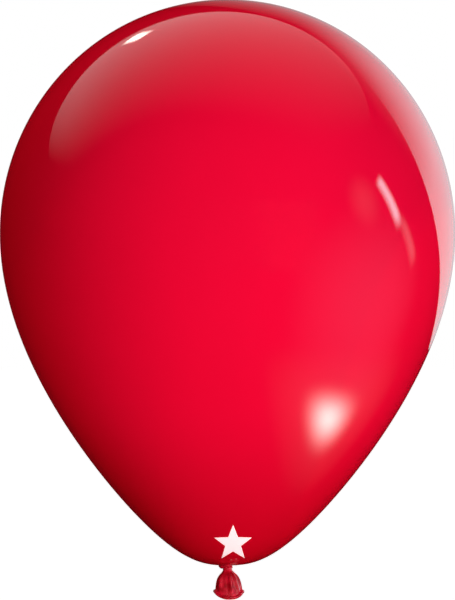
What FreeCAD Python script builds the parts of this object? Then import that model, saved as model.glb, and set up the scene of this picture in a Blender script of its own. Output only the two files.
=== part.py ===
import FreeCAD, Part
import math
import os

# A latex party balloon, blown up and tied, with the free end of its neck hanging below the knot.
# Millimetres, +Z up, front towards -Y. The origin is the pinched neck just under the knot,
# where a ribbon is tied. The film is one dipped skin; it is divided where it changes form:
# body, thick crown spot, gathered neck, knot, pinched waist, flared tail and rolled lip.

# Body
BODY_R = 140.0  # greatest radius
CROWN_RISE = 143.8  # crown above the widest circle
BASE_DROP = 204.2  # lowest ring of film below the widest circle
BASE_Z = 3.2  # lowest ring of film above the origin
FILM = 0.3  # thickness of the body's film

# Lower half of the body: poles of its curve, as fractions of BODY_R and of BASE_DROP
LOWER_POLES = [(1.0, 0.0), (1.0, 0.514), (0.291, 0.908), (0.267, 1.0), (0.0, 1.0)]

# Recess in the base, which the knot pulls up into the body
RIM_START = 0.945  # how far along the lower curve the film starts to turn up into the recess
RIM_ROUND = 1.6
RECESS_ROUND = 2.0
RECESS_FLOOR_Z = 9.0

# Thick spot at the crown, where the last drop of latex dried
CROWN_SPOT_R = 6.0
CROWN_SPOT_THICK = 0.9

# Gathered neck between the body and the knot
NECK_R = 2.4
NECK_BOTTOM_Z = 7.6
NECK_TOP_Z = 11.0

# Overhand knot: a loop of rolled film round a gathered core
LOOP_R = 3.7  # centre of the knot to the middle of the loop's strand
LOOP_STRAND_R = 1.8
LOOP_Z = 4.3
LOOP_TILT = 20.0  # degrees, the left side low
CORE_TOP_Z = 7.3
CORE_BOTTOM_Z = 1.4
CORE_TOP_R = 2.2
CORE_MIDDLE_R = 1.9
CORE_BOTTOM_R = 3.0

# Pinched waist, the point that the tail bends and tilts about
WAIST_R = 2.6
SEAT_R = 2.75  # hollow that the knot and the tail each have for the waist

# Flared tail: poles of its side as (half width, height), flattened front to back
TAIL_POLES = [(3.3, -1.8), (6.2, -3.2), (9.0, -6.0), (8.8, -17.0)]
TAIL_DEPTH_RATIO = 0.75  # depth over width at the mouth
TAIL_FILM = 0.45
TAIL_HOLLOW_START = 0.28  # how far down the side the hollow begins
TAIL_SECTIONS = 6

# Rolled lip: its line lies on a cylinder along Y, so its sides ride higher than its front and back
LIP_R = 1.1
LIP_HALF_WIDTH = 8.5
LIP_HALF_DEPTH = 6.4
LIP_BEND_R = 10.3
LIP_BEND_Z = -6.2
LIP_SECTIONS = 16

# Printed star on the front, stretched with the film so that it looks even from the front
STAR_R = 12.0
STAR_INNER_RATIO = 0.42
STAR_X = 3.4
STAR_Z = 18.6
INK = 0.1

ORIGIN = FreeCAD.Vector(0, 0, 0)
UP = FreeCAD.Vector(0, 0, 1)


def at(x, z, y=0.0):
    """A point given by its distance right of the axis and its height."""
    return FreeCAD.Vector(x, y, z)


def revolved(edges):
    """The solid swept by a closed outline in the XZ plane as it turns about the Z axis."""
    outline = Part.Wire(Part.__sortEdges__(edges))
    return Part.Face(outline).revolve(ORIGIN, UP, 360)


def body_solid(inset):
    """The body filled solid and shrunk by inset all over, with the recess in its base."""
    radius = BODY_R - inset
    rise = CROWN_RISE - inset
    drop = BASE_DROP - inset
    equator = at(0, BASE_Z + BASE_DROP)
    crown = at(0, equator.z + rise)
    upper = Part.ArcOfEllipse(Part.Ellipse(crown, at(radius, equator.z), equator), 0, math.pi / 2)

    lower = Part.BezierCurve()
    lower.setPoles([at(radius * out, equator.z - drop * down) for out, down in LOWER_POLES])
    rim_start = lower.value(RIM_START)
    heading = lower.tangent(RIM_START)[0]
    inward = at(heading.z, -heading.x)
    rim_round = RIM_ROUND - inset
    rim_centre = rim_start + inward * rim_round
    rim_end = rim_centre - at(rim_round, 0)
    rim_middle = rim_centre - (inward + at(1, 0)).normalize() * rim_round
    rim = Part.Arc(rim_start, rim_middle, rim_end)

    corner_round = RECESS_ROUND + inset
    corner_centre = at(rim_end.x - corner_round, RECESS_FLOOR_Z - RECESS_ROUND)
    corner_start = corner_centre + at(corner_round, 0)
    corner_middle = corner_centre + at(1, 1).normalize() * corner_round
    corner_end = corner_centre + at(0, corner_round)
    corner = Part.Arc(corner_start, corner_middle, corner_end)
    floor_middle = at(0, corner_end.z)

    return revolved([
        upper.toShape(),
        lower.toShape(0, RIM_START),
        rim.toShape(),
        Part.makeLine(rim_end, corner_start),
        corner.toShape(),
        Part.makeLine(corner_end, floor_middle),
        Part.makeLine(floor_middle, crown),
    ])


def crown_cutter():
    """A round bar through the crown, as wide as the thick spot."""
    return Part.makeCylinder(CROWN_SPOT_R, 2 * CROWN_RISE, at(0, BASE_Z + BASE_DROP), UP)


def envelope():
    """The stretched film of the body, open at the crown spot and where the neck leaves it."""
    film = body_solid(0).cut(body_solid(FILM))
    neck_hole = Part.makeCylinder(NECK_R, NECK_TOP_Z, ORIGIN, UP)
    return film.cut(crown_cutter()).cut(neck_hole)


def crown_tip():
    """The thick spot of film that closes the crown."""
    thick_film = body_solid(0).cut(body_solid(CROWN_SPOT_THICK))
    return thick_film.common(crown_cutter())


def neck_root():
    """The gathered film that closes the base and runs down to the knot."""
    return Part.makeCylinder(NECK_R, NECK_TOP_Z - NECK_BOTTOM_Z, at(0, NECK_BOTTOM_Z), UP)


def knot_loop():
    """The loop of the overhand knot, a ring of rolled film that lies lower on the left."""
    tilt = math.radians(LOOP_TILT)
    return Part.makeTorus(LOOP_R, LOOP_STRAND_R, at(0, LOOP_Z), at(-math.sin(tilt), math.cos(tilt)))


def knot_core():
    """The gathered film inside the loop, hollowed below for the waist."""
    side = Part.BSplineCurve()
    middle_z = (CORE_TOP_Z + CORE_BOTTOM_Z) / 2
    side.interpolate([
        at(CORE_TOP_R, CORE_TOP_Z),
        at(CORE_MIDDLE_R, middle_z),
        at(CORE_BOTTOM_R, CORE_BOTTOM_Z),
    ])
    core = revolved([
        side.toShape(),
        Part.makeLine(at(CORE_BOTTOM_R, CORE_BOTTOM_Z), at(0, CORE_BOTTOM_Z)),
        Part.makeLine(at(0, CORE_BOTTOM_Z), at(0, CORE_TOP_Z)),
        Part.makeLine(at(0, CORE_TOP_Z), at(CORE_TOP_R, CORE_TOP_Z)),
    ])
    return core.cut(knot_loop()).cut(Part.makeSphere(SEAT_R))


def neck_waist():
    """The pinched neck, round so that the tail can bend about it."""
    return Part.makeSphere(WAIST_R)


def tail_bell(first, inset):
    """The tail's flared shape filled solid, from a fraction of its side down, shrunk by inset."""
    side = Part.BezierCurve()
    side.setPoles([at(x, z) for x, z in TAIL_POLES])
    sections = []
    for i in range(TAIL_SECTIONS):
        along = first + (1 - first) * i / (TAIL_SECTIONS - 1)
        point = side.value(along)
        depth_ratio = 1 - (1 - TAIL_DEPTH_RATIO) * along
        oval = Part.Ellipse(at(0, point.z), point.x - inset, point.x * depth_ratio - inset)
        sections.append(Part.Wire(oval.toShape()))
    return Part.makeLoft(sections, True)


def tail_skirt():
    """The thin flared tail, closed at the waist and cut off at the lip."""
    bell = tail_bell(0, 0).cut(tail_bell(TAIL_HOLLOW_START, TAIL_FILM))
    depth = 4 * LIP_HALF_DEPTH
    trim = Part.makeCylinder(LIP_BEND_R, depth, at(0, LIP_BEND_Z, -depth / 2), FreeCAD.Vector(0, 1, 0))
    return bell.common(trim).cut(Part.makeSphere(SEAT_R)).cut(rolled_lip())


def lip_section(turn):
    """The round section of the lip, square to its middle line at an angle about the mouth."""
    x = LIP_HALF_WIDTH * math.cos(turn)
    y = LIP_HALF_DEPTH * math.sin(turn)
    drop = math.sqrt(LIP_BEND_R ** 2 - x ** 2)
    x_rate = -LIP_HALF_WIDTH * math.sin(turn)
    y_rate = LIP_HALF_DEPTH * math.cos(turn)
    z_rate = x * x_rate / drop
    return Part.Wire(Part.makeCircle(LIP_R, at(x, LIP_BEND_Z - drop, y), at(x_rate, z_rate, y_rate)))


def rolled_lip():
    """The bead of rolled film round the mouth."""
    sections = [lip_section(2 * math.pi * i / LIP_SECTIONS) for i in range(LIP_SECTIONS)]
    return Part.makeLoft(sections, True, False, True)


def printed_star():
    """A five-pointed star of white ink on the front of the film, just above the base."""
    behind_film = -STAR_R
    corners = []
    for i in range(10):
        reach = STAR_R if i % 2 == 0 else STAR_R * STAR_INNER_RATIO
        turn = math.pi * i / 5
        corners.append(at(STAR_X + reach * math.sin(turn), STAR_Z + reach * math.cos(turn), behind_film))
    outline = Part.makePolygon(corners + corners[:1])
    prism = Part.Face(outline).extrude(FreeCAD.Vector(0, -BODY_R, 0))
    return body_solid(-INK).cut(body_solid(0)).common(prism)


PIECES = [
    envelope,
    crown_tip,
    neck_root,
    printed_star,
    knot_loop,
    knot_core,
    neck_waist,
    tail_skirt,
    rolled_lip,
]

os.makedirs("parts", exist_ok=True)
for piece in PIECES:
    shape = piece()
    shape.exportStep("parts/" + piece.__name__ + ".step")
    volume = round(shape.Volume, 2)
    print(piece.__name__, "volume", volume, "solids", len(shape.Solids), "valid", shape.isValid())
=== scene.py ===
import math

import bpy
from mathutils import Matrix, Vector


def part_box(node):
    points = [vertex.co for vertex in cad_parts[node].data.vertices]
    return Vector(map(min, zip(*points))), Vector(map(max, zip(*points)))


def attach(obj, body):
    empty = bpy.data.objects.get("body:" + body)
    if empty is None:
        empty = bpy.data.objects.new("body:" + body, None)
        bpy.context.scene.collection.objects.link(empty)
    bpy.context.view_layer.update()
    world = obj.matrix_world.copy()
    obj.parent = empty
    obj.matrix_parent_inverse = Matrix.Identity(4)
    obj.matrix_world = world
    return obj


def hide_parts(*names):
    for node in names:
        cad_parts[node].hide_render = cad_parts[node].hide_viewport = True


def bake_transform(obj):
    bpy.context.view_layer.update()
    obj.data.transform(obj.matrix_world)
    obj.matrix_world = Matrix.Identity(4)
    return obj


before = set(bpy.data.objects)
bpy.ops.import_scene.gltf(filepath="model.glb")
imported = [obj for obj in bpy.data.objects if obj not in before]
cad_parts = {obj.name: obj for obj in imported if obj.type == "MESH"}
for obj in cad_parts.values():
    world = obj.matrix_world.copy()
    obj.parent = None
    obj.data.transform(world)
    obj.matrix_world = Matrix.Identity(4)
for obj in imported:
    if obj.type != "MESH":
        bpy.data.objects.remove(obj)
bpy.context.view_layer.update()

# A latex party balloon, blown up and tied. Metres, +Z up, front towards -Y.
# The origin is the pinched neck just under the knot.
MM = 0.001
UP = Vector((0, 0, 1))

# Body: its radius and crown come from the frame
BODY_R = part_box("envelope")[1].x
CROWN_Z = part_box("crown_tip")[1].z
CROWN_RISE = 143.8 * MM  # crown above the widest circle
EQUATOR_Z = CROWN_Z - CROWN_RISE
BASE_DROP = 204.2 * MM  # lowest ring of film below the widest circle

# Lower half of the body: poles of its curve, as fractions of BODY_R and of BASE_DROP
LOWER_POLES = [(1.0, 0.0), (1.0, 0.514), (0.291, 0.908), (0.267, 1.0), (0.0, 1.0)]
RIM_START = 0.945  # how far along the lower curve the film starts to turn up into the dimple
RIM_ROUND = 1.6 * MM

# Dimple in the base: poles of the film's line from the rim up and over into the knot, in mm
DIMPLE_POLES = [(0.0, 0.0), (0.0, 3.4), (-2.9, 5.6), (-4.2, 1.9)]

# Points along each stretch of the body's line, and round the body
CROWN_STEPS = 96
LOWER_STEPS = 140
RIM_STEPS = 14
DIMPLE_STEPS = 24
BODY_SIDES = 288

# Pleats that gather the film towards the knot. Here and below, a wave is (count in one turn,
# height, start in radians).
PLEAT_WAVES = [(13, 0.5, 0.4), (9, 0.3, 1.9), (21, 0.2, 0.8)]
PLEAT_START_R = 30 * MM
PLEAT_FULL_R = 9 * MM
PLEAT_DEPTH = 0.22 * MM
PLEAT_DIP = 0.6  # how far a pleat dips outside the dimple, as a share of how far it stands out
DIMPLE_R = 8 * MM
DIMPLE_FULL_R = 3 * MM
DIMPLE_PLEATS = 0.10  # added depth of the pleats inside the dimple, as a share of the radius there

# Star: its middle comes from the frame
STAR_LOW, STAR_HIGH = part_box("printed_star")
STAR_R = 12 * MM
STAR_INNER_RATIO = 0.42
STAR_POINTS = 5
STAR_SIDE_STEPS = 14  # points along each of its sides
STAR_LAYERS = 16  # rings from its edge to its middle
INK_PROUD = 0.09 * MM
INK_EDGE = 0.15  # height of the ink at its very edge, as a share of INK_PROUD

# Loop of the knot: a strand that goes once and a third round and tucks in at both ends
WRAP_STEPS = 150
WRAP_SIDES = 40
WRAP_WAVES = [(5, 0.05, 0.3), (9, 0.03, 1.1), (14, 0.018, 2.0)]
WRAP_TILT = math.radians(20)  # the left side low
WRAP_START = -35  # degrees round from the right side
WRAP_SWEEP = 475  # degrees
WRAP_TUCK = 0.16  # share of the strand, at each end, that tucks in
WRAP_END_REACH = 1.2 * MM  # from the axis to its ends
WRAP_LOOP_REACH = 2.5 * MM  # added to that where it is clear of its ends
WRAP_TOP = 1.5 * MM  # height of its first end over the middle of the loop
WRAP_DROP = 2.9 * MM  # from its first end to its last
WRAP_FLATTEN = 0.45  # share of those heights that it loses where it is clear of its ends
WRAP_THIN = 0.14  # share of the strand, at each end, that is thinner
WRAP_END_R = 1.15 * MM
WRAP_SWELL = 0.55 * MM  # added to its radius past the thin ends
WRAP_UNEVEN = 0.08 * MM
WRAP_UNEVEN_RATE = 19  # radians of unevenness along it
STRAND_WANDER = 0.8  # radians that the creases wander round a strand, either way

# Gathered film inside the loop: (height, half width) in mm, from the top down
HEART_OUTLINE = [(7.3, 2.0), (6.0, 1.9), (4.6, 1.9), (3.2, 2.6), (2.2, 3.15), (1.7, 3.05), (1.5, 2.6)]
HEART_WAVES = [(7, 0.06, 0.9), (11, 0.045, 0.2), (17, 0.02, 1.4)]
HEART_TWIST = 0.05  # radians for each mm of height
HEART_SHIFT = 0.2 * MM  # how far left of the axis it sits
HEART_STEPS = 40
HEART_SIDES = 96

# Tail: (height, half width) in mm, from inside the knot down to the lip
TAIL_PROFILE = [
    (2.6, 2.7), (1.2, 2.8), (0.0, 3.0), (-1.2, 4.0), (-2.5, 5.2),
    (-4.9, 6.7), (-8.0, 7.7), (-12.0, 8.4), (-17.5, 8.6),
]
TAIL_TOP = TAIL_PROFILE[0][0] * MM
TAIL_LEAN = math.radians(3.5)  # to the right
TAIL_FILM = 0.35 * MM
TAIL_SIDES = 240
TAIL_DEPTH_RATIO = 0.75  # depth over width at the mouth
ROUND_ABOVE_Z = 1.5 * MM  # the film is round above this and at its flattest below OVAL_BELOW_Z
OVAL_BELOW_Z = -14 * MM
SEAM_Z = -0.6 * MM  # where the waist's film meets the tail's
WAIST_STEPS = 26
SKIRT_STEPS = 84
INNER_TOP_Z = -2.6 * MM  # how far up inside the tail its inner side goes
PINCH = 3.6 * MM  # how far the inner side draws in at its top
PINCH_START = 0.62  # how far up the inner side it starts to draw in

# Ridges pressed into the tail: (degrees round from its right side, half width in degrees, height)
RIDGES = [
    (-130, 13, 0.8),
    (-71, 10, 1.4),
    (-40, 9, 1.1),
    (-6, 11, 0.9),
    (34, 12, 1.2),
    (78, 12, 0.9),
    (121, 11, 1.2),
    (166, 12, 0.9),
]
RIDGE_MEAN = 0.5  # taken off the ridges, so that the valleys lie inside the film's half width
WAIST_FOLD_DEPTH = 0.22 * MM
TAIL_FOLD_DEPTH = 1.05 * MM  # added to that in the tail
SHALLOW_ABOVE_Z = -0.5 * MM  # the folds are shallow above this and at their deepest below DEEP_BELOW_Z
DEEP_BELOW_Z = -4 * MM
FOLD_FADE_START = 0.55  # how far down the film the folds start to fade
FOLD_FADE = 0.85  # share of their depth that they lose by the lip
RIDGE_SWAY = 7  # degrees that the ridges swing round on their way down
RIDGE_SWAY_RATE = 3  # radians of that swing from the top of the film to the lip

# Rolled lip: its line lies on a cylinder along Y, so its sides ride higher than its front and back
LIP_HALF_WIDTH = 8.5 * MM
LIP_HALF_DEPTH = 6.4 * MM
LIP_BEND_R = 10.3 * MM
LIP_BEND_Z = -6.2 * MM
LIP_DROOP = 1.3 * MM  # how much lower the right side of the lip hangs
LIP_WAVER = 0.16 * MM  # how far its line wavers up and down
LIP_WAVER_WAVES = [(3, 0.6, 0.7), (5, 0.4, 2.0)]
LIP_R = 1.05 * MM
LIP_SWELLS = [(2, 0.05, 1 - math.pi / 2), (7, 0.03, -math.pi / 2)]
LIP_ROLLS = [(6, 0.045, 0.2), (11, 0.02, 1.0)]
LIP_STEPS = 300
LIP_SIDES = 48


# ---------------------------------------------------------------- curves

def bezier(poles, t):
    """A point on a Bezier curve of any degree."""
    points = [Vector(p) for p in poles]
    while len(points) > 1:
        points = [a.lerp(b, t) for a, b in zip(points, points[1:])]
    return points[0]


def smooth_step(low, high, value):
    """0 below low, 1 above high, and an even rise between them."""
    t = min(1.0, max(0.0, (value - low) / (high - low)))
    return t * t * (3 - 2 * t)


def through_points(points, z):
    """The half width at height z on a smooth line through (height, half width) points."""
    i = 0
    while i < len(points) - 2 and z < points[i + 1][0]:
        i += 1
    before = points[max(i - 1, 0)]
    start, end = points[i], points[i + 1]
    after = points[min(i + 2, len(points) - 1)]
    span = end[0] - start[0]
    t = min(1.0, max(0.0, (z - start[0]) / span))
    slope_in = (end[1] - before[1]) / (end[0] - before[0]) * span
    slope_out = (after[1] - start[1]) / (after[0] - start[0]) * span
    return (
        (2 * t ** 3 - 3 * t ** 2 + 1) * start[1]
        + (t ** 3 - 2 * t ** 2 + t) * slope_in
        + (3 * t ** 2 - 2 * t ** 3) * end[1]
        + (t ** 3 - t ** 2) * slope_out
    )


def clear_of_ends(share, length):
    """0 at either end of a strand, rising to 1 at a length from them; both are shares of it."""
    return min(smooth_step(0, length, share), smooth_step(0, length, 1 - share))


def body_profile():
    """The body's line from the crown to the knot, as (radius, height) points."""
    line = []
    for i in range(CROWN_STEPS + 1):
        turn = math.pi / 2 * i / CROWN_STEPS
        line.append((BODY_R * math.sin(turn), EQUATOR_Z + CROWN_RISE * math.cos(turn)))
    poles = [(BODY_R * out, EQUATOR_Z - BASE_DROP * down) for out, down in LOWER_POLES]
    for i in range(1, LOWER_STEPS + 1):
        line.append(tuple(bezier(poles, RIM_START * i / LOWER_STEPS)))
    start = Vector(line[-1])
    heading = (start - Vector(line[-2])).normalized()
    centre = start + Vector((heading.y, -heading.x)) * RIM_ROUND
    first = math.atan2(start.y - centre.y, start.x - centre.x)
    for i in range(1, RIM_STEPS + 1):
        turn = first + (-math.pi - first) * i / RIM_STEPS
        line.append((centre.x + RIM_ROUND * math.cos(turn), centre.y + RIM_ROUND * math.sin(turn)))
    foot = line[-1]
    for i in range(1, DIMPLE_STEPS + 1):
        out, up = bezier(DIMPLE_POLES, i / DIMPLE_STEPS)
        line.append((foot[0] + out * MM, foot[1] + up * MM))
    return line


PROFILE = body_profile()
OUTER_PROFILE = PROFILE[:CROWN_STEPS + LOWER_STEPS + 1]  # as far as the rim


def body_radius(z):
    """The body's outer radius at a height, and the slope of the film there."""
    for (r0, z0), (r1, z1) in zip(OUTER_PROFILE, OUTER_PROFILE[1:]):
        if z1 <= z <= z0:
            t = (z0 - z) / (z0 - z1)
            return r0 + (r1 - r0) * t, math.atan2(z0 - z1, r0 - r1)
    return OUTER_PROFILE[-1][0], 0.0


def on_front(x, z):
    """The point of the film in front of the axis at x, z, and its outward normal."""
    radius, slope = body_radius(z)
    y = -math.sqrt(max(radius * radius - x * x, 0.0))
    out = Vector((x, y, 0)) / radius
    normal = out * math.sin(slope) - UP * math.cos(slope)
    return Vector((x, y, z)), normal.normalized()


# ---------------------------------------------------------------- meshes

SHARP_ANGLE = math.radians(50)


def finish_mesh(name, points, faces, material):
    """A smooth-shaded object with its material."""
    mesh = bpy.data.meshes.new(name)
    mesh.from_pydata(points, [], faces)
    mesh.validate()
    mesh.shade_smooth()
    mesh.set_sharp_from_angle(angle=SHARP_ANGLE)
    mesh.materials.append(material)
    obj = bpy.data.objects.new(name, mesh)
    bpy.context.scene.collection.objects.link(obj)
    return obj


def ring_faces(rings, sides, closed):
    """Quads between rings of points, each ring numbered after the last."""
    faces = []
    last = rings if closed else rings - 1
    for i in range(last):
        a = i * sides
        b = ((i + 1) % rings) * sides
        for j in range(sides):
            k = (j + 1) % sides
            faces.append((a + j, b + j, b + k, a + k))
    return faces


def lofted(name, rings, material, closed=False):
    """A skin over rings of points, each end closed to its middle unless the rings join up."""
    sides = len(rings[0])
    points = [p for ring in rings for p in ring]
    faces = ring_faces(len(rings), sides, closed)
    if not closed:
        for end, flip in ((0, False), (len(rings) - 1, True)):
            middle = len(points)
            points.append(sum((Vector(p) for p in rings[end]), Vector()) / sides)
            for j in range(sides):
                a = end * sides + j
                b = end * sides + (j + 1) % sides
                faces.append((middle, b, a) if flip else (middle, a, b))
    return finish_mesh(name, points, faces, material)


def creases(turn, waves):
    """The sum of some waves at an angle of turn."""
    return sum(height * math.cos(count * turn + start) for count, height, start in waves)


# ---------------------------------------------------------------- materials

# Colours, as linear red, green and blue
WHITE = (1.0, 1.0, 1.0)
WIDE_FILM = (0.91, 0.0028, 0.047)
# The colour low on the body: deeper for the less stretched film, and darker still as painted shade
LOW_FILM_AND_SHADE = (0.62, 0.0014, 0.018)
CLOUDED_FILM = (0.70, 0.001, 0.018)
CROWN_FILM = (0.30, 0.0005, 0.006)
NECK_DEEP = (0.37, 0.0015, 0.009)
NECK_BRIGHT = (0.72, 0.007, 0.038)
INK = (0.98, 0.98, 0.98)
INK_TINTED = (0.95, 0.92, 0.92)
INK_PINHOLE = (0.75, 0.25, 0.27)

STRETCHED_UNSHADED_Z = 110 * MM  # the film is fully stretched, and the painted shade below has faded out, above this
CROWN_SPOT_R = 5 * MM  # the dark spot at the crown, and where it has faded out
CROWN_SPOT_FADE_R = 9 * MM
BODY_GRAIN = 0.004 * MM
NECK_WRINKLE = 0.03 * MM
NECK_WRINKLE_SQUASH = 0.22  # width of the fine wrinkles over their height
INK_GRAIN = 0.01 * MM


def new_material(name):
    """A material with its nodes, links and main shader."""
    material = bpy.data.materials.new(name)
    material.use_nodes = True
    nodes = material.node_tree.nodes
    return material, nodes, material.node_tree.links, nodes["Principled BSDF"]


def noise(nodes, links, coordinates, scale, detail):
    """The value of a noise texture."""
    node = nodes.new("ShaderNodeTexNoise")
    node.inputs["Scale"].default_value = scale
    node.inputs["Detail"].default_value = detail
    links.new(coordinates, node.inputs["Vector"])
    return node.outputs["Fac"]


def ramp(nodes, links, source, between, onto, smooth=True):
    """Maps a value between two limits onto the span of two others."""
    node = nodes.new("ShaderNodeMapRange")
    node.interpolation_type = "SMOOTHSTEP" if smooth else "LINEAR"
    node.inputs["From Min"].default_value, node.inputs["From Max"].default_value = between
    node.inputs["To Min"].default_value, node.inputs["To Max"].default_value = onto
    links.new(source, node.inputs["Value"])
    return node.outputs["Result"]


def mixed(nodes, links, factor, first, second):
    """A colour between two, each a colour or a socket."""
    node = nodes.new("ShaderNodeMix")
    node.data_type = "RGBA"
    links.new(factor, node.inputs["Factor"])
    for socket, value in ((node.inputs["A"], first), (node.inputs["B"], second)):
        if isinstance(value, tuple):
            socket.default_value = (*value, 1.0)
        else:
            links.new(value, socket)
    return node.outputs["Result"]


def add_bump(nodes, links, height, depth, shader):
    """Fine relief on a shader, with its depth in metres."""
    node = nodes.new("ShaderNodeBump")
    node.inputs["Strength"].default_value = 1.0
    node.inputs["Distance"].default_value = depth
    links.new(height, node.inputs["Height"])
    links.new(node.outputs["Normal"], shader.inputs["Normal"])


def body_latex():
    """Stretched glossy film: thin and bright at its widest, deeper at the crown spot and towards the neck;
    the darkening low on the body is partly the less stretched film and partly painted shade.
    """
    material, nodes, links, shader = new_material("body_latex")
    place = nodes.new("ShaderNodeTexCoord").outputs["Object"]
    split = nodes.new("ShaderNodeSeparateXYZ")
    links.new(place, split.inputs["Vector"])
    # The lower body darkens towards the neck: partly less stretched film, partly painted shade
    stretch = ramp(nodes, links, split.outputs["Z"], between=(0.0, STRETCHED_UNSHADED_Z), onto=(0.0, 1.0))
    base = mixed(nodes, links, stretch, LOW_FILM_AND_SHADE, WIDE_FILM)

    cloud = noise(nodes, links, place, scale=14.0, detail=3.0)
    cloudy = ramp(nodes, links, cloud, between=(0.3, 0.7), onto=(0.0, 0.06))
    base = mixed(nodes, links, cloudy, base, CLOUDED_FILM)

    from_crown = nodes.new("ShaderNodeVectorMath")
    from_crown.operation = "DISTANCE"
    from_crown.inputs[1].default_value = (0, 0, CROWN_Z)
    links.new(place, from_crown.inputs[0])
    spot_span = (CROWN_SPOT_R, CROWN_SPOT_FADE_R)
    crown_spot = ramp(nodes, links, from_crown.outputs["Value"], between=spot_span, onto=(0.75, 0.0))
    base = mixed(nodes, links, crown_spot, base, CROWN_FILM)
    links.new(base, shader.inputs["Base Color"])

    shader.inputs["Coat Weight"].default_value = 1.0
    shader.inputs["Coat Roughness"].default_value = 0.03
    shader.inputs["Coat IOR"].default_value = 1.45
    shader.inputs["Specular IOR Level"].default_value = 0.0
    roughness = ramp(nodes, links, cloud, between=(0.25, 0.75), onto=(0.24, 0.32))
    links.new(roughness, shader.inputs["Roughness"])
    grain = noise(nodes, links, place, scale=900.0, detail=2.0)
    add_bump(nodes, links, grain, BODY_GRAIN, shader)
    return material


def neck_latex():
    """Unstretched film of the knot, neck and lip: thick, deep in colour and slightly satin."""
    material, nodes, links, shader = new_material("neck_latex")
    place = nodes.new("ShaderNodeTexCoord").outputs["Object"]
    blotch = noise(nodes, links, place, scale=240.0, detail=3.0)
    mottle = ramp(nodes, links, blotch, between=(0.3, 0.7), onto=(0.0, 1.0))
    base = mixed(nodes, links, mottle, NECK_DEEP, NECK_BRIGHT)
    links.new(base, shader.inputs["Base Color"])
    shader.inputs["IOR"].default_value = 1.5
    shader.inputs["Coat Weight"].default_value = 0.8
    shader.inputs["Coat Roughness"].default_value = 0.24
    shader.inputs["Specular IOR Level"].default_value = 0.5
    roughness = ramp(nodes, links, blotch, between=(0.3, 0.7), onto=(0.30, 0.44))
    links.new(roughness, shader.inputs["Roughness"])

    stretched = nodes.new("ShaderNodeMapping")
    stretched.inputs["Scale"].default_value = (1.0, 1.0, NECK_WRINKLE_SQUASH)
    links.new(place, stretched.inputs["Vector"])
    wrinkle = noise(nodes, links, stretched.outputs["Vector"], scale=1500.0, detail=3.0)
    add_bump(nodes, links, wrinkle, NECK_WRINKLE, shader)
    return material


def white_ink():
    """Opaque white print with a faint painted glow, thinned a little by the stretch so that the red shows
    at fine pinholes.
    """
    material, nodes, links, shader = new_material("white_ink")
    place = nodes.new("ShaderNodeTexCoord").outputs["Object"]
    pinholes = noise(nodes, links, place, scale=2200.0, detail=1.0)
    thin = ramp(nodes, links, pinholes, between=(0.70, 0.80), onto=(0.0, 0.55))
    patches = noise(nodes, links, place, scale=160.0, detail=2.0)
    tint = ramp(nodes, links, patches, between=(0.35, 0.75), onto=(0.0, 1.0))
    base = mixed(nodes, links, tint, INK, INK_TINTED)
    base = mixed(nodes, links, thin, base, INK_PINHOLE)
    links.new(base, shader.inputs["Base Color"])
    # A faint white glow, painted light that keeps the print bright white
    shader.inputs["Emission Color"].default_value = (*WHITE, 1)
    shader.inputs["Emission Strength"].default_value = 0.4
    shader.inputs["Roughness"].default_value = 0.32
    shader.inputs["Specular IOR Level"].default_value = 0.4
    add_bump(nodes, links, patches, INK_GRAIN, shader)
    return material


BODY_LATEX = body_latex()
NECK_LATEX = neck_latex()
WHITE_INK = white_ink()


# ---------------------------------------------------------------- body

def body_skin():
    """The film from the crown down, over the rim and up into the pleated dimple that the knot pulls."""
    rings = []
    for radius, z in PROFILE[1:]:
        depth = 0.0
        if z < EQUATOR_Z:
            near = 1 - smooth_step(PLEAT_FULL_R, PLEAT_START_R, radius)
            inside = 1 - smooth_step(DIMPLE_FULL_R, DIMPLE_R, radius)
            depth = PLEAT_DEPTH * near + DIMPLE_PLEATS * radius * inside
        dip = PLEAT_DIP if radius > DIMPLE_R else 0.0
        ring = []
        for j in range(BODY_SIDES):
            turn = 2 * math.pi * j / BODY_SIDES
            pleat = depth * creases(turn, PLEAT_WAVES)
            reach = radius + pleat
            ring.append((reach * math.cos(turn), reach * math.sin(turn), z - pleat * dip))
        rings.append(ring)
    skin = lofted("balloon_skin", rings, BODY_LATEX)
    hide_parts("envelope", "crown_tip", "neck_root")
    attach(skin, "balloon")


def star_outline(centre):
    """The points round the star, in the plane of X and Z."""
    corners = []
    for i in range(2 * STAR_POINTS):
        reach = STAR_R if i % 2 == 0 else STAR_R * STAR_INNER_RATIO
        turn = math.pi * i / STAR_POINTS
        corners.append(Vector((centre.x + reach * math.sin(turn), centre.y + reach * math.cos(turn))))
    outline = []
    for start, end in zip(corners, corners[1:] + corners[:1]):
        for i in range(STAR_SIDE_STEPS):
            outline.append(start.lerp(end, i / STAR_SIDE_STEPS))
    return outline


def star_print():
    """A five-pointed star of ink that follows the front of the film."""
    centre = Vector(((STAR_LOW.x + STAR_HIGH.x) / 2, STAR_HIGH.z - STAR_R))
    outline = star_outline(centre)
    back = []
    for point in outline:
        place, normal = on_front(point.x, point.y)
        back.append(place - normal * INK_PROUD)
    rings = [back]
    for i in range(STAR_LAYERS):
        share = 1 - i / STAR_LAYERS
        proud = INK_PROUD * (INK_EDGE if i == 0 else 1.0)
        ring = []
        for point in outline:
            flat = centre.lerp(point, share)
            place, normal = on_front(flat.x, flat.y)
            ring.append(place + normal * proud)
        rings.append(ring)
    star = lofted("star_print", rings, WHITE_INK)
    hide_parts("printed_star")
    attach(star, "balloon")


# ---------------------------------------------------------------- knot

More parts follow.
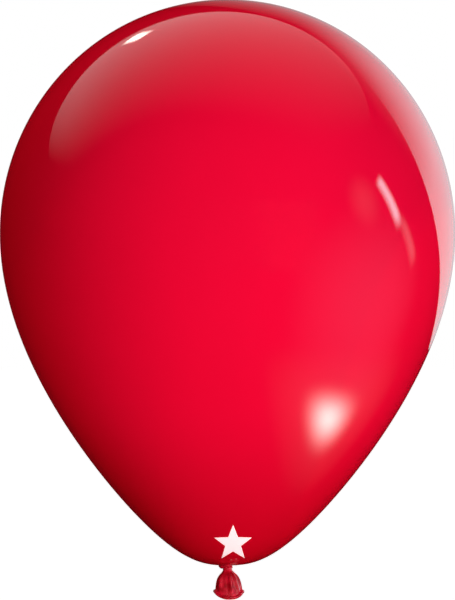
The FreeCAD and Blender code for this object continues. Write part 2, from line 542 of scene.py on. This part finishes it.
def strand(name, line, radius_at, sides, waves, closed=False):
    """A creased tube of rolled film along a line of points."""
    count = len(line)
    rings = []
    side = UP
    for i, point in enumerate(line):
        ahead = line[(i + 1) % count] if closed else line[min(i + 1, count - 1)]
        behind = line[i - 1] if closed or i else line[0]
        heading = (ahead - behind).normalized()
        side = (side - heading * side.dot(heading)).normalized()
        across = heading.cross(side)
        share = i / count
        wander = STRAND_WANDER * math.sin(2 * math.pi * share)
        ring = []
        for j in range(sides):
            turn = 2 * math.pi * j / sides
            reach = radius_at(share) * (1 + creases(turn + wander, waves))
            ring.append(point + (side * math.cos(turn) + across * math.sin(turn)) * reach)
        rings.append(ring)
    return lofted(name, rings, NECK_LATEX, closed)


def wrap_radius(share):
    """The knot strand's radius at a share of its length: thin where it tucks in, and a little uneven."""
    swell = clear_of_ends(share, WRAP_THIN)
    return WRAP_END_R + WRAP_SWELL * swell + WRAP_UNEVEN * math.sin(WRAP_UNEVEN_RATE * share)


def knot_wrap():
    """The loop of the knot: the neck goes once and a third round itself and tucks in at both ends."""
    low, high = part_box("knot_loop")
    centre = (low + high) / 2
    line = []
    for i in range(WRAP_STEPS):
        share = i / (WRAP_STEPS - 1)
        turn = math.radians(WRAP_START + WRAP_SWEEP * share)
        out = clear_of_ends(share, WRAP_TUCK)
        reach = WRAP_END_REACH + WRAP_LOOP_REACH * out
        x = reach * math.cos(turn)
        y = reach * math.sin(turn)
        z = (WRAP_TOP - WRAP_DROP * share) * (1 - WRAP_FLATTEN * out)
        line.append(centre + Vector((x, y, z + x * math.tan(WRAP_TILT))))
    wrap = strand("knot_wrap", line, wrap_radius, WRAP_SIDES, WRAP_WAVES)
    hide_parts("knot_loop")
    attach(wrap, "knot")


def knot_heart():
    """The gathered film inside the loop, open pleats at its lower end."""
    top = HEART_OUTLINE[0][0]
    bottom = HEART_OUTLINE[-1][0]
    rings = []
    for i in range(HEART_STEPS):
        z = top + (bottom - top) * i / (HEART_STEPS - 1)
        radius = through_points(HEART_OUTLINE, z)
        ring = []
        for j in range(HEART_SIDES):
            turn = 2 * math.pi * j / HEART_SIDES
            reach = radius * (1 + creases(turn + HEART_TWIST * z, HEART_WAVES)) * MM
            ring.append((reach * math.cos(turn) - HEART_SHIFT, reach * math.sin(turn), z * MM))
        rings.append(ring)
    heart = lofted("knot_heart", rings, NECK_LATEX)
    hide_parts("knot_core")
    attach(heart, "knot")


# ---------------------------------------------------------------- tail

def ridge_height(degrees):
    """How far the ridges stand out at an angle round the tail, 0 in the valleys, about 1 on a ridge."""
    height = 0.0
    for middle, half_width, peak in RIDGES:
        off = (degrees - middle + 180) % 360 - 180
        height += peak * math.exp(-(off / half_width) ** 2)
    return height


def lip_line(turn):
    """A point on the middle line of the lip before the tail leans: sides high, front and back low."""
    x = LIP_HALF_WIDTH * math.cos(turn)
    y = LIP_HALF_DEPTH * math.sin(turn)
    z = LIP_BEND_Z - math.sqrt(LIP_BEND_R ** 2 - x * x)
    z += LIP_WAVER * creases(turn, LIP_WAVER_WAVES)
    z -= LIP_DROOP * smooth_step(0, LIP_HALF_WIDTH, x)
    return Vector((x, y, z))


def leaned(point):
    """The point after the tail leans to the right about the tie point."""
    return Matrix.Rotation(-TAIL_LEAN, 3, "Y") @ point


def tail_point(turn, share, inset):
    """A point on the tail's film: share 0 at the top of the waist, 1 at the lip."""
    z = TAIL_TOP + (lip_line(turn).z - TAIL_TOP) * share
    half_width = through_points(TAIL_PROFILE, z / MM) * MM
    ratio = 1 - (1 - TAIL_DEPTH_RATIO) * smooth_step(ROUND_ABOVE_Z, OVAL_BELOW_Z, z)
    fold_depth = WAIST_FOLD_DEPTH + TAIL_FOLD_DEPTH * smooth_step(SHALLOW_ABOVE_Z, DEEP_BELOW_Z, z)
    fold_depth *= 1 - FOLD_FADE * smooth_step(FOLD_FADE_START, 1.0, share)
    sway = RIDGE_SWAY * math.sin(RIDGE_SWAY_RATE * share)
    ridges = ridge_height(math.degrees(turn) + sway) - RIDGE_MEAN
    reach = half_width + fold_depth * ridges - inset
    return leaned(Vector((reach * math.cos(turn), reach * ratio * math.sin(turn), z)))


def tail_ring(z, towards_lip=0.0, inset=0.0):
    """One ring of the film: level at height z, or a share of the way from there towards the lip."""
    ring = []
    for j in range(TAIL_SIDES):
        turn = 2 * math.pi * j / TAIL_SIDES
        level = (TAIL_TOP - z) / (TAIL_TOP - lip_line(turn).z)
        ring.append(tail_point(turn, level + (1 - level) * towards_lip, inset))
    return ring


def waist_film():
    """The pinched neck from inside the knot to the seam with the tail."""
    drop = TAIL_TOP - SEAM_Z
    rings = [tail_ring(TAIL_TOP - drop * i / WAIST_STEPS) for i in range(WAIST_STEPS + 1)]
    film = lofted("waist_film", rings, NECK_LATEX)
    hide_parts("neck_waist")
    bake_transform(film)


def tail_film():
    """The flared film from the seam to the lip, with its inner side back up to the pinch."""
    shares = [i / SKIRT_STEPS for i in range(SKIRT_STEPS + 1)]
    rings = [tail_ring(SEAM_Z, share) for share in shares]
    for share in shares:
        pinch = PINCH * smooth_step(PINCH_START, 1.0, share)
        rings.append(tail_ring(INNER_TOP_Z, 1 - share, TAIL_FILM + pinch))
    film = lofted("tail_film", rings, NECK_LATEX)
    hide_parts("tail_skirt")
    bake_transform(film)


def lip_radius(share):
    """The lip bead's radius at a share of the way round the mouth, a little uneven."""
    return LIP_R * (1 + creases(2 * math.pi * share, LIP_SWELLS))


def lip_bead():
    """The rolled bead round the mouth, its rolls showing as fine lines along it."""
    line = [leaned(lip_line(2 * math.pi * i / LIP_STEPS)) for i in range(LIP_STEPS)]
    bead = strand("lip_bead", line, lip_radius, LIP_SIDES, LIP_ROLLS, closed=True)
    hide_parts("rolled_lip")
    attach(bead, "tail")


# ---------------------------------------------------------------- stage

FLOOR_Z = -0.45
FLOOR_HALF = 40.0  # half the length of its side
CAMERA_DISTANCE = 3.0
PICTURE_HEIGHT = 369.2 * MM  # what the picture takes in, at the balloon
PICTURE_MIDDLE_Z = 166.5 * MM
SENSOR = 36.0  # mm
CAMERA_PLACE = Vector((0, -CAMERA_DISTANCE, PICTURE_MIDDLE_Z))
MIDDLE = Vector((0, 0, PICTURE_MIDDLE_Z))  # what the lights are placed round
CEILING_Z = 1.28
WASH_DISTANCE = 2.5
WASH_SIZE = (1.4, 1.4)
CREAM = (1.0, 0.96, 0.88)
RED_CARD = (1.0, 0.05, 0.05)
FLOOR_COLOUR = (0.95, 0.95, 0.95)
FILL_COLOUR = (0.02, 0.01, 0.01)
MIRRORED_ROOM = (0.12, 0.002, 0.004)
EVEN_FADE = 0.45  # a fade at least this wide is even; a narrower one eases in and out
BELL_POWER = 3  # a bell fade is a round one to this power


def camera():
    """A long lens level with the middle of the balloon."""
    data = bpy.data.cameras.new("camera")
    data.sensor_width = SENSOR
    data.lens = SENSOR * CAMERA_DISTANCE / PICTURE_HEIGHT
    obj = bpy.data.objects.new("camera", data)
    obj.location = CAMERA_PLACE
    obj.rotation_euler = (math.pi / 2, 0, 0)
    bpy.context.scene.collection.objects.link(obj)
    bpy.context.scene.camera = obj


def pale_floor():
    """A pale floor far below, kept out of the balloon's reflections and the light that falls on it."""
    material, _, _, shader = new_material("floor")
    shader.inputs["Base Color"].default_value = (*FLOOR_COLOUR, 1)
    shader.inputs["Roughness"].default_value = 0.9
    shader.inputs["Emission Color"].default_value = (*WHITE, 1)
    shader.inputs["Emission Strength"].default_value = 1.0
    mesh = bpy.data.meshes.new("floor")
    signs = ((-1, -1), (1, -1), (1, 1), (-1, 1))
    corners = [(x * FLOOR_HALF, y * FLOOR_HALF, FLOOR_Z) for x, y in signs]
    mesh.from_pydata(corners, [], [(0, 1, 2, 3)])
    mesh.materials.append(material)
    floor = bpy.data.objects.new("floor", mesh)
    bpy.context.scene.collection.objects.link(floor)
    floor.visible_glossy = False
    floor.visible_diffuse = False


def white_surround():
    """A world that is white to the eye, a dark red room in reflections and a faint fill elsewhere."""
    world = bpy.data.worlds.new("surround")
    bpy.context.scene.world = world
    world.use_nodes = True
    world.cycles.sampling_method = "NONE"
    nodes, links = world.node_tree.nodes, world.node_tree.links
    rays = nodes.new("ShaderNodeLightPath")
    tint = mixed(nodes, links, rays.outputs["Is Glossy Ray"], FILL_COLOUR, MIRRORED_ROOM)
    tint = mixed(nodes, links, rays.outputs["Is Camera Ray"], tint, WHITE)
    links.new(tint, nodes["Background"].inputs["Color"])
    nodes["Background"].inputs["Strength"].default_value = 1.0


def soften(data, fades):
    """Fades a panel's light out towards its edges.

    "round" falls off evenly from the middle and "bell" falls off faster, like a lamp behind cloth.
    A list of (axis, dark, bright) fades it from one side to the other. Places on the face run from
    0 to 1 along each axis.
    """
    data.use_nodes = True
    nodes, links = data.node_tree.nodes, data.node_tree.links
    face = nodes.new("ShaderNodeSeparateXYZ")
    links.new(nodes.new("ShaderNodeNewGeometry").outputs["Parametric"], face.inputs["Vector"])
    levels = []
    if fades in ("round", "bell"):
        flat = nodes.new("ShaderNodeCombineXYZ")
        links.new(face.outputs["X"], flat.inputs["X"])
        links.new(face.outputs["Y"], flat.inputs["Y"])
        reach = nodes.new("ShaderNodeVectorMath")
        reach.operation = "DISTANCE"
        reach.inputs[1].default_value = (0.5, 0.5, 0.0)
        links.new(flat.outputs["Vector"], reach.inputs[0])
        levels.append(ramp(nodes, links, reach.outputs["Value"], between=(0.5, 0.0), onto=(0.0, 1.0)))
        if fades == "bell":
            levels *= BELL_POWER
    else:
        for axis, dark, bright in fades:
            eased = abs(bright - dark) < EVEN_FADE
            side = face.outputs[axis]
            levels.append(ramp(nodes, links, side, between=(dark, bright), onto=(0.0, 1.0), smooth=eased))
    level = levels[0]
    for other in levels[1:]:
        product = nodes.new("ShaderNodeMath")
        product.operation = "MULTIPLY"
        links.new(level, product.inputs[0])
        links.new(other, product.inputs[1])
        level = product.outputs["Value"]
    links.new(level, nodes["Emission"].inputs["Strength"])


def soft_light(
    name, place, aim, size, radiance, mirrored, colour=WHITE, fades=None, shape="RECTANGLE", roll=0.0
):
    """A panel of light at a place, facing aim; radiance is how bright its face is.

    The film either mirrors it, or takes colour from it and doesn't mirror it.
    """
    data = bpy.data.lights.new(name, "AREA")
    data.shape = shape
    data.size, data.size_y = size
    area = size[0] * size[1] * (math.pi / 4 if shape == "ELLIPSE" else 1)
    data.energy = radiance * area * math.pi
    data.color = colour
    if fades:
        soften(data, fades)
    obj = bpy.data.objects.new(name, data)
    obj.location = place
    facing = (aim - place).to_track_quat("-Z", "Y")
    obj.rotation_euler = (facing.to_matrix() @ Matrix.Rotation(math.radians(roll), 3, "Z")).to_euler()
    obj.visible_camera = False
    obj.visible_diffuse = not mirrored
    obj.visible_glossy = mirrored
    bpy.context.scene.collection.objects.link(obj)


def around(azimuth, elevation, distance):
    """A place round the middle of the balloon: azimuth 0 is in front, positive to the right."""
    a, e = math.radians(azimuth), math.radians(elevation)
    out = Vector((math.sin(a) * math.cos(e), -math.cos(a) * math.cos(e), math.sin(e)))
    return MIDDLE + out * distance


def wash(name, azimuth, elevation, radiance, colour):
    """A broad light that colours the film and isn't mirrored in it."""
    place = around(azimuth, elevation, WASH_DISTANCE)
    soft_light(name, place, MIDDLE, WASH_SIZE, radiance, mirrored=False, colour=colour)


def panel(name, azimuth, elevation, distance, size, radiance, **more):
    """A panel that the film mirrors and that adds nothing to its colour."""
    place = around(azimuth, elevation, distance)
    soft_light(name, place, MIDDLE, size, radiance, mirrored=True, **more)


def ceiling_panel(name, x, y, size, radiance, **more):
    """A level panel overhead, its middle at x, y."""
    place = Vector((x, y, CEILING_Z))
    soft_light(name, place, place - UP, size, radiance, mirrored=True, **more)


def reflection(name, x, z, distance, size, radiance, **more):
    """A panel that the camera sees mirrored in the front of the body at x, z millimetres."""
    point, normal = on_front(x * MM, z * MM)
    to_camera = (CAMERA_PLACE - point).normalized()
    direction = 2 * normal.dot(to_camera) * normal - to_camera
    soft_light(name, point + direction * distance, point, size, radiance, mirrored=True, **more)


def studio():
    """Washes for the colour of the film, and panels that it mirrors."""
    # Name, azimuth, elevation, radiance and colour
    wash("key", 30, 0, 6.6, WHITE)
    wash("front", 0, 0, 2.75, (1, 0.58, 0.58))
    wash("low_front", 0, -35, 1.3, (1, 0.5, 0.5))
    wash("low_left", -60, -60, 1.9, RED_CARD)
    wash("low_right", 65, -50, 1.7, (1, 0.5, 0.5))
    wash("top", 0, 80, 2.0, (1, 0.6, 0.6))
    wash("left_card", -60, 0, 0.45, RED_CARD)
    wash("right_card", 125, -30, 2.6, RED_CARD)
    wash("back_left", -130, 0, 3.2, (1, 0.2, 0.2))
    wash("back_right", 135, 0, 3.8, (1, 0.4, 0.4))
    wash("back_top", 180, 50, 4.5, (1, 0.4, 0.4))
    wash("top_left", -70, 55, 0.6, RED_CARD)

    # Panels overhead, which the crown mirrors: name, x, y, size and radiance
    overhead_look = dict(fades=[("X", 0.1, 0.42), ("X", 0.86, 0.5), ("Y", 0.48, 0.85)], roll=-14)
    ceiling_panel("overhead", -0.75, -0.6, (6.0, 3.5), 0.98, shape="ELLIPSE", **overhead_look)
    ceiling_panel("overhead_core", -1.0, 0.85, (2.0, 0.9), 1.7, shape="ELLIPSE", fades="round")

    # Panels that the right side mirrors: name, azimuth, elevation, distance, size and radiance
    rim_look = dict(colour=(0.75, 1, 1.05), shape="ELLIPSE")
    rim_fades = [("X", 1.0, 0.0), ("Y", 0.94, 0.4)]
    panel("rim_panel", 152.5, 20, 2.5, (2.95, 2.65), 2.6, fades=rim_fades, roll=6, **rim_look)
    panel("rim_top", 138, 31, 2.6, (2.4, 2.2), 0.38, fades="round", **rim_look)
    panel("side_haze", 75, -22, 2.2, (4.2, 3.4), 0.7, colour=(1, 0.5, 0.9), fades="round")

    # Lamps and their glow in the front of the body: name, x, z, distance, size and radiance
    side_to_side = [("X", 0.0, 0.45), ("X", 1.0, 0.55)]
    all_edges = side_to_side + [("Y", 0.0, 0.3), ("Y", 1.0, 0.7)]
    streak_look = dict(colour=(0.5, 0.95, 1.05), fades=side_to_side + [("Y", 1.0, 0.85), ("Y", 0.0, 0.3)])
    reflection("streak", 97, 226, 2.0, (0.26, 0.8), 10.0, roll=30, **streak_look)
    reflection("streak_tail", 108, 204, 2.05, (0.26, 0.8), 1.2, fades=all_edges, roll=44)
    reflection("side_patch", 81, 225, 2.1, (0.9, 1.0), 0.5, fades="round", roll=30)
    reflection("low_glow", 59.8, 96.5, 2.0, (2.2, 0.73), 18.0, colour=CREAM, fades="bell", roll=22)
    reflection("low_halo", 57, 98, 2.1, (4.4, 1.3), 0.45, colour=CREAM, fades="round", roll=22)
    reflection("glint", -54.5, 325, 1.2, (0.16, 0.15), 15.0, colour=(1, 0.92, 0.8), fades=all_edges)


body_skin()
star_print()
knot_wrap()
knot_heart()
waist_film()
tail_film()
lip_bead()
camera()
pale_floor()
white_surround()
studio()
bpy.context.scene.view_settings.view_transform = "Standard"
